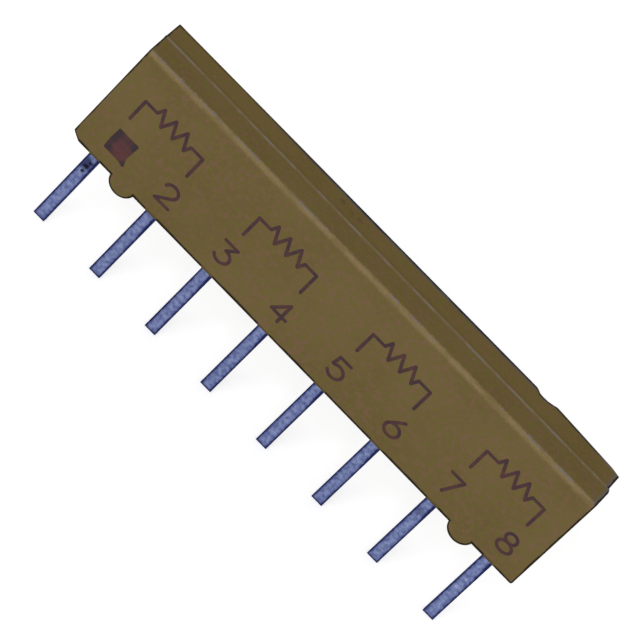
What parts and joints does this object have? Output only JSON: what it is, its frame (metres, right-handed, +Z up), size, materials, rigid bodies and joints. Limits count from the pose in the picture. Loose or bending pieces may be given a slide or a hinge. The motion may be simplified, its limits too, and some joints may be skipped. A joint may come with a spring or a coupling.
{
  "type": "resistor network",
  "caption": "Moulded single-in-line thick-film resistor network: a flat epoxy block with half-round standoffs and a row of straight tinned leads for through-hole soldering.",
  "frame": {"origin": "centre of the row of leads, on the seating plane where the standoffs meet the board", "axes": "+X along the row from lead 1 to the last lead, +Z up from the board, -Y out of the marked face"},
  "size_m": [0.0198, 0.0023, 0.0085],
  "materials": {
    "epoxy": "matte moulded epoxy, mustard tan",
    "tinned_lead": "dull tinned strip with drawn lines",
    "alumina": "fired white ceramic",
    "silver_print": "fired silver print",
    "resistor_print": "fired dark resistor print",
    "glass_coat": "fired green glass coat",
    "solder": "reflowed solder",
    "marking_ink": "thin purple-brown printing ink"
  },
  "bodies": {
    "root": {"moulded_body": "epoxy", "substrate": "alumina", "overglaze": "glass_coat", "lead_1": "tinned_lead", "lead_2": "tinned_lead", "lead_3": "tinned_lead", "lead_4": "tinned_lead", "lead_5": "tinned_lead", "lead_6": "tinned_lead", "lead_7": "tinned_lead", "lead_8": "tinned_lead", "conductor_1": "silver_print", "conductor_2": "silver_print", "conductor_3": "silver_print", "conductor_4": "silver_print", "conductor_5": "silver_print", "conductor_6": "silver_print", "conductor_7": "silver_print", "conductor_8": "silver_print", "solder_joint_1": "solder", "solder_joint_2": "solder", "solder_joint_3": "solder", "solder_joint_4": "solder", "solder_joint_5": "solder", "solder_joint_6": "solder", "solder_joint_7": "solder", "solder_joint_8": "solder", "resistor_film_1": "resistor_print", "resistor_film_2": "resistor_print", "resistor_film_3": "resistor_print", "resistor_film_4": "resistor_print"}
  },
  "joints": []
}
